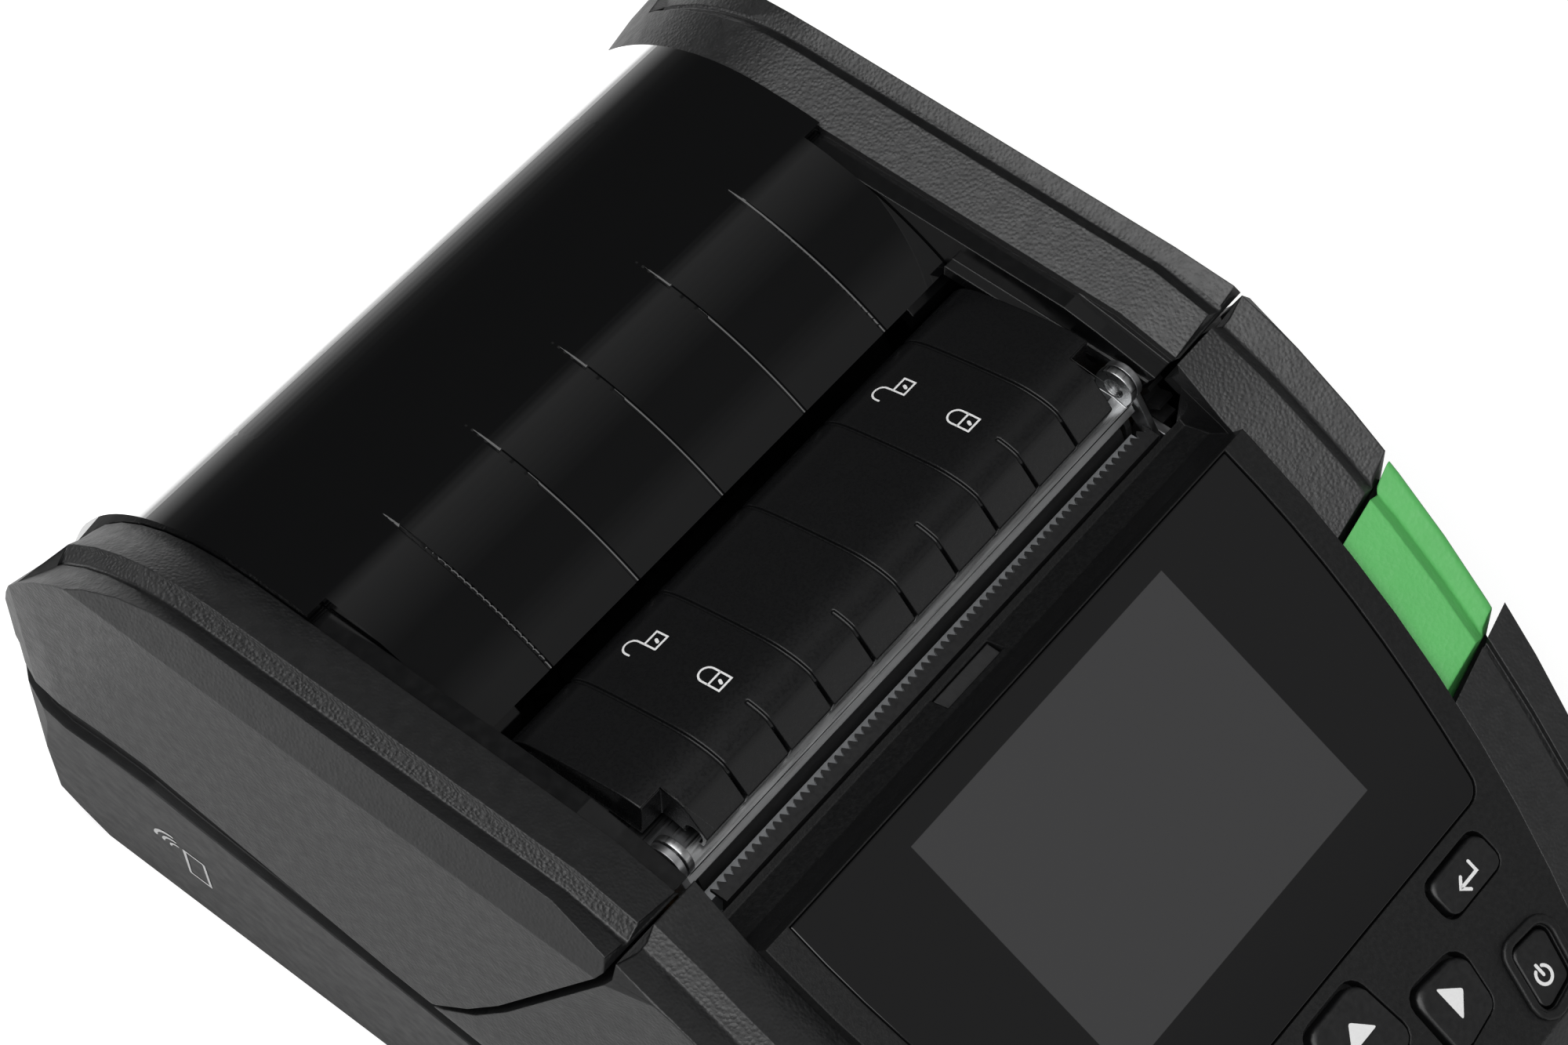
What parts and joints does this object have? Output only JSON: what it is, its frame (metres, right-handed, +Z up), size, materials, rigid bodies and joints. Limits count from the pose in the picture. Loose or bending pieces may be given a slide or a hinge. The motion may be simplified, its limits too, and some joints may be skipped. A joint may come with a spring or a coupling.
{
  "type": "portable label printer",
  "caption": "Rugged portable label printer with a hinged roll cover, latch lever, tear bar, colour display, keypad, side bumpers and slide-in battery.",
  "frame": {"origin": "centre of the body's footprint on the surface it lies on", "axes": "+X to the reader's right, +Y from the front end to the roll cover's hinge, +Z up"},
  "size_m": [0.118, 0.1839, 0.082],
  "materials": {
    "case_plastic": "satin black moulded plastic, fine grain",
    "cheek_plastic": "charcoal grey plastic with leather grain",
    "bumper_rubber": "charcoal overmoulded rubber with leather grain",
    "accent_rubber": "bright green overmoulded rubber with leather grain",
    "smoked_window": "glossy smoked plastic",
    "lens": "black scratch-resistant lens",
    "key_rubber": "satin black silicone",
    "steel": "bent and brushed steel sheet",
    "machined_steel": "turned steel",
    "spring_steel": "wound spring steel",
    "platen_rubber": "ground silicone rubber",
    "gear_plastic": "white acetal",
    "bearing_brass": "sintered bronze",
    "contact_brass": "gold-plated contact",
    "heat_sink": "extruded aluminium with a ceramic strip",
    "motor_can": "zinc-plated can",
    "board": "green circuit board",
    "display": "display module"
  },
  "bodies": {
    "base": {"base_shell": "case_plastic", "top_housing": "case_plastic", "display_lens": "lens", "display_module": "display", "keypad_mat": "key_rubber", "power_ring": "case_plastic", "keypad_board": "board", "main_board": "board", "bumper_left": "bumper_rubber", "bumper_right": "bumper_rubber", "accent_left": "accent_rubber", "accent_right": "accent_rubber", "bumper_front": "bumper_rubber", "tear_bar": "steel", "print_chassis": "steel", "head_pin": "machined_steel", "head_springs": "spring_steel", "stepper_motor": "motor_can", "idler_axle": "machined_steel", "label_sensor": "board", "taken_sensor": "lens", "battery_contacts": "contact_brass", "port_connectors": "steel", "hinge_pin": "machined_steel", "hinge_spring": "spring_steel", "case_screws": "machined_steel"},
    "cover": {"cover_frame": "case_plastic", "cover_window": "smoked_window", "cover_cheek_left": "cheek_plastic", "cover_cheek_right": "cheek_plastic", "cover_screws": "machined_steel", "platen_bracket": "steel", "platen_bearings": "bearing_brass", "lever_spring": "spring_steel"},
    "platen": {"platen_shaft": "machined_steel", "platen_roller": "platen_rubber", "platen_gear": "gear_plastic"},
    "idler": {"idler_gear": "gear_plastic"},
    "drive": {"motor_pinion": "gear_plastic"},
    "head": {"printhead": "heat_sink"},
    "guide_left": {"media_guide_left": "case_plastic"},
    "guide_right": {"media_guide_right": "case_plastic"},
    "guide_link": {"guide_pinion": "gear_plastic"},
    "battery": {"battery_pack": "cheek_plastic"},
    "battery_catch": {"battery_latch": "case_plastic"},
    "flap": {"port_cover": "key_rubber"},
    "lever": {"latch_lever": "case_plastic", "lever_pins": "machined_steel", "latch_hooks": "steel"},
    "button_up": {"key_up": "key_rubber"},
    "button_left": {"key_left": "key_rubber"},
    "button_right": {"key_right": "key_rubber"},
    "button_down": {"key_down": "key_rubber"},
    "button_enter": {"key_enter": "key_rubber"},
    "button_menu": {"key_menu": "key_rubber"},
    "button_power": {"key_power": "key_rubber"},
    "button_feed": {"key_feed": "key_rubber"}
  },
  "joints": [
    {"name": "cover_hinge", "type": "hinge", "parent": "base", "child": "cover", "pos_m": [0, 0.086, 0.039], "axis": [-1, 0, 0], "range_deg": [0, 90]},
    {"name": "platen_spin", "type": "hinge", "parent": "cover", "child": "platen", "pos_m": [0, -0.0054, 0.066], "axis": [1, 0, 0], "continuous": true},
    {"name": "idler_spin", "type": "hinge", "parent": "base", "child": "idler", "pos_m": [0.0457, -0.00974, 0.05131], "axis": [1, 0, 0], "continuous": true},
    {"name": "pinion_spin", "type": "hinge", "parent": "base", "child": "drive", "pos_m": [0.0457, -0.0033, 0.03919], "axis": [1, 0, 0], "continuous": true},
    {"name": "head_swing", "type": "hinge", "parent": "base", "child": "head", "pos_m": [0, -0.014, 0.048], "axis": [1, 0, 0], "range_deg": [0, 2.5], "stiffness_Nm_per_rad": 1, "springref_deg": -2.86, "deforming": ["head_springs"]},
    {"name": "guide_left_slide", "type": "slide", "parent": "base", "child": "guide_left", "axis": [1, 0, 0], "range_m": [0, 0.025]},
    {"name": "guide_right_slide", "type": "slide", "parent": "base", "child": "guide_right", "axis": [-1, 0, 0], "range_m": [0, 0.025]},
    {"name": "guide_pinion_spin", "type": "hinge", "parent": "base", "child": "guide_link", "pos_m": [0, 0.045, 0.005], "axis": [0, 0, 1], "range_deg": [0, 298.9]},
    {"name": "battery_slide", "type": "slide", "parent": "base", "child": "battery", "axis": [1, 0, 0], "range_m": [0, 0.092]},
    {"name": "battery_latch_slide", "type": "slide", "parent": "base", "child": "battery_catch", "axis": [0, 1, 0], "range_m": [0, 0.003], "stiffness_N_per_m": 300},
    {"name": "port_cover_hinge", "type": "hinge", "parent": "base", "child": "flap", "pos_m": [0.05436, 0.0225, 0.008], "axis": [0, 1, 0], "range_deg": [0, 90]},
    {"name": "lever_lift", "type": "hinge", "parent": "cover", "child": "lever", "pos_m": [0, -0.0076, 0.074], "axis": [1, 0, 0], "range_deg": [0, 16], "stiffness_Nm_per_rad": 0.08, "springref_deg": -5.73},
    {"name": "key_up_press", "type": "slide", "parent": "base", "child": "button_up", "axis": [0, 0.4741, -0.8805], "range_m": [0, 0.0008], "stiffness_N_per_m": 900, "springref_m": -0.0003},
    {"name": "key_left_press", "type": "slide", "parent": "base", "child": "button_left", "axis": [0, 0.4741, -0.8805], "range_m": [0, 0.0008], "stiffness_N_per_m": 900, "springref_m": -0.0003},
    {"name": "key_right_press", "type": "slide", "parent": "base", "child": "button_right", "axis": [0, 0.4741, -0.8805], "range_m": [0, 0.0008], "stiffness_N_per_m": 900, "springref_m": -0.0003},
    {"name": "key_down_press", "type": "slide", "parent": "base", "child": "button_down", "axis": [0, 0.4741, -0.8805], "range_m": [0, 0.0008], "stiffness_N_per_m": 900, "springref_m": -0.0003},
    {"name": "key_enter_press", "type": "slide", "parent": "base", "child": "button_enter", "axis": [0, 0.4741, -0.8805], "range_m": [0, 0.0008], "stiffness_N_per_m": 900, "springref_m": -0.0003},
    {"name": "key_menu_press", "type": "slide", "parent": "base", "child": "button_menu", "axis": [0, 0.4741, -0.8805], "range_m": [0, 0.0008], "stiffness_N_per_m": 900, "springref_m": -0.0003},
    {"name": "key_power_press", "type": "slide", "parent": "base", "child": "button_power", "axis": [0, 0.4741, -0.8805], "range_m": [0, 0.0008], "stiffness_N_per_m": 900, "springref_m": -0.0003},
    {"name": "key_feed_press", "type": "slide", "parent": "base", "child": "button_feed", "axis": [0, 0.4741, -0.8805], "range_m": [0, 0.0008], "stiffness_N_per_m": 900, "springref_m": -0.0003}
  ],
  "couplings": [
    {"joint": "idler_spin", "follows": "platen_spin", "ratio": -0.72727},
    {"joint": "pinion_spin", "follows": "platen_spin", "ratio": 1.3333},
    {"joint": "guide_right_slide", "follows": "guide_left_slide", "ratio": 1},
    {"joint": "guide_pinion_spin", "follows": "guide_left_slide", "rad_per_m": 208.33}
  ]
}
